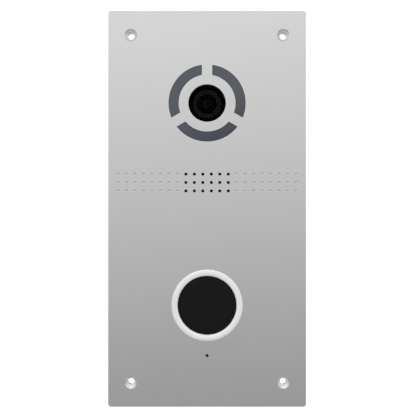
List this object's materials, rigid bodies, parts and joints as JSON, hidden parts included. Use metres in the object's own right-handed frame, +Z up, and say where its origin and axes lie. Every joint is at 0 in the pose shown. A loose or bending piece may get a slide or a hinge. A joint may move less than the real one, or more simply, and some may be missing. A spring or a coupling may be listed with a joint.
{
  "type": "door intercom panel",
  "caption": "Flush wall panel for a door intercom: steel plate, camera, arc light window, speaker grille, microphone and a ringed call button on a shallow rear housing.",
  "frame": {"origin": "middle of the wall plane: the rear face of the perimeter seal, at the plate's centre", "axes": "+Y into the wall, +Z up, +X to the right as a visitor faces the panel"},
  "size_m": [0.1, 0.0377, 0.2],
  "materials": {
    "plate": "fine satin, brushed down the plate",
    "smoked_window": "smooth smoked polycarbonate",
    "clear_glass": "polished",
    "light_guide": "satin translucent white",
    "black_cap": "satin black",
    "black_plastic": "fine moulded grain",
    "rubber": "matt moulded rubber",
    "black_mesh": "fine woven wire, blackened",
    "paper_cone": "matt pressed paper",
    "socket_shell": "bright tinned steel",
    "green_plastic": "smooth moulded",
    "circuit_board": "solder mask",
    "led": "moulded",
    "zinc_steel": "zinc plated"
  },
  "bodies": {
    "panel": {"button_board": "circuit_board", "button_board_screw_1": "zinc_steel", "button_board_screw_2": "zinc_steel", "button_guide": "black_plastic", "button_led_1": "led", "button_led_2": "led", "button_led_3": "led", "button_ring": "light_guide", "button_spring": "zinc_steel", "camera_bezel": "black_plastic", "camera_board": "circuit_board", "camera_screw_1": "zinc_steel", "camera_screw_2": "zinc_steel", "camera_window": "clear_glass", "chassis": "black_plastic", "earth_nut": "zinc_steel", "earth_stud": "zinc_steel", "faceplate": "plate", "front_lens": "clear_glass", "housing_screw_1": "zinc_steel", "housing_screw_2": "zinc_steel", "housing_screw_3": "zinc_steel", "housing_screw_4": "zinc_steel", "housing_seal": "rubber", "image_sensor": "black_plastic", "lens_barrel": "black_plastic", "lens_holder": "black_plastic", "light_board": "circuit_board", "light_led_1": "led", "light_led_2": "led", "light_led_3": "led", "light_window": "smoked_window", "main_board": "circuit_board", "main_board_screw_1": "zinc_steel", "main_board_screw_2": "zinc_steel", "microphone": "zinc_steel", "microphone_boot": "rubber", "network_socket": "socket_shell", "plate_stud_1": "zinc_steel", "plate_stud_2": "zinc_steel", "plate_stud_3": "zinc_steel", "plate_stud_4": "zinc_steel", "processor": "black_plastic", "rear_housing": "black_plastic", "ring_gasket": "rubber", "ring_nut": "black_plastic", "speaker_cone": "paper_cone", "speaker_frame": "black_plastic", "speaker_gasket": "rubber", "speaker_magnet": "zinc_steel", "speaker_mesh": "black_mesh", "tact_switch": "black_plastic", "tamper_switch": "black_plastic", "terminal_header": "green_plastic", "wall_seal": "rubber"},
    "call_button": {"button_cap": "black_cap", "stem_clip": "zinc_steel"},
    "switch_plunger": {"tact_plunger": "light_guide"},
    "tamper": {"tamper_plunger": "light_guide"}
  },
  "joints": [
    {"name": "button_press", "type": "slide", "parent": "panel", "child": "call_button", "axis": [0, 1, 0], "range_m": [0, 0.001], "stiffness_N_per_m": 400, "springref_m": -0.002, "deforming": ["button_spring"]},
    {"name": "switch_press", "type": "slide", "parent": "panel", "child": "switch_plunger", "axis": [0, 1, 0], "range_m": [0, 0.001]},
    {"name": "tamper_press", "type": "slide", "parent": "panel", "child": "tamper", "axis": [0, -1, 0], "range_m": [0, 0.0025], "stiffness_N_per_m": 150, "springref_m": -0.003}
  ],
  "couplings": [
    {"joint": "switch_press", "follows": "button_press", "ratio": 1}
  ]
}
